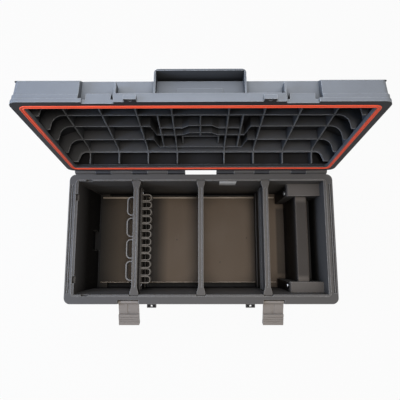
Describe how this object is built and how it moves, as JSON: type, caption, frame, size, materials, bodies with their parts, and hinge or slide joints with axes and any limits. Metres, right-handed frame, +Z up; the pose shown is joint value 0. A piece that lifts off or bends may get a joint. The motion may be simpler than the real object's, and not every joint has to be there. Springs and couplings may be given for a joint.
{
  "type": "wheeled storage box",
  "caption": "Long moulded storage box on wheels with a hinged ribbed lid, gasket, fold-down latches, lift-out dividers with tool loops, and a bail pull handle.",
  "frame": {"origin": "on the ground under the middle of the tub, on the underside of its middle skid rail", "axes": "+X along the box to the wheels, +Y to the hinge side, +Z up; lid and latches open"},
  "size_m": [0.8295, 0.5847, 0.6415],
  "materials": {
    "tub_plastic": "moulded",
    "lid_plastic": "moulded",
    "divider_plastic": "moulded",
    "latch_plastic": "moulded",
    "hub_plastic": "moulded",
    "bush_plastic": "moulded",
    "seal_rubber": "extruded",
    "tyre_rubber": "moulded",
    "grip_rubber": "moulded",
    "zinc_steel": "zinc plated"
  },
  "bodies": {
    "tub": {"base_tub": "tub_plastic", "hinge_pin_left": "zinc_steel", "hinge_pin_right": "zinc_steel", "latch_pin_left": "zinc_steel", "latch_pin_right": "zinc_steel", "axle": "zinc_steel", "axle_washers": "zinc_steel", "axle_caps": "hub_plastic", "well_bolts": "zinc_steel", "well_nuts": "zinc_steel", "handle_bracket_front": "tub_plastic", "handle_bracket_rear": "tub_plastic", "handle_pin_front": "zinc_steel", "handle_pin_rear": "zinc_steel", "bracket_screws": "zinc_steel"},
    "lid": {"lid_shell": "lid_plastic", "lid_rib_grid": "lid_plastic", "lid_seal": "seal_rubber"},
    "latch_left": {"latch_left": "latch_plastic"},
    "latch_right": {"latch_right": "latch_plastic"},
    "divider_left": {"divider_left": "divider_plastic", "bit_holder": "divider_plastic", "tool_holder": "divider_plastic", "holder_bolts": "zinc_steel"},
    "divider_middle": {"divider_middle": "divider_plastic"},
    "divider_right": {"divider_right": "divider_plastic"},
    "wheel_front": {"tyre_front": "tyre_rubber", "wheel_hub_front": "hub_plastic", "wheel_bush_front": "bush_plastic"},
    "wheel_rear": {"tyre_rear": "tyre_rubber", "wheel_hub_rear": "hub_plastic", "wheel_bush_rear": "bush_plastic"},
    "pull_handle": {"pull_handle_bail": "latch_plastic", "pull_handle_grip": "grip_rubber"}
  },
  "joints": [
    {"name": "lid_hinge", "type": "hinge", "parent": "tub", "child": "lid", "pos_m": [0, 0.199, 0.2487], "axis": [1, 0, 0], "range_deg": [0, 98.3]},
    {"name": "latch_left_turn", "type": "hinge", "parent": "tub", "child": "latch_left", "pos_m": [-0.21, -0.1845, 0.235], "axis": [-1, 0, 0], "range_deg": [0, 110]},
    {"name": "latch_right_turn", "type": "hinge", "parent": "tub", "child": "latch_right", "pos_m": [0.21, -0.1845, 0.235], "axis": [-1, 0, 0], "range_deg": [0, 110]},
    {"name": "divider_left_lift", "type": "slide", "parent": "tub", "child": "divider_left", "axis": [0, 0, -1], "range_m": [-0.25, 0]},
    {"name": "divider_middle_lift", "type": "slide", "parent": "tub", "child": "divider_middle", "axis": [0, 0, -1], "range_m": [-0.25, 0]},
    {"name": "divider_right_lift", "type": "slide", "parent": "tub", "child": "divider_right", "axis": [0, 0, -1], "range_m": [-0.25, 0]},
    {"name": "wheel_front_spin", "type": "hinge", "parent": "tub", "child": "wheel_front", "pos_m": [0.3535, -0.158, 0.082], "axis": [0, 1, 0], "continuous": true},
    {"name": "wheel_rear_spin", "type": "hinge", "parent": "tub", "child": "wheel_rear", "pos_m": [0.3535, 0.158, 0.082], "axis": [0, 1, 0], "continuous": true},
    {"name": "pull_handle_swing", "type": "hinge", "parent": "tub", "child": "pull_handle", "pos_m": [-0.386, 0, 0.187], "axis": [0, 1, 0], "range_deg": [0, 100]}
  ]
}
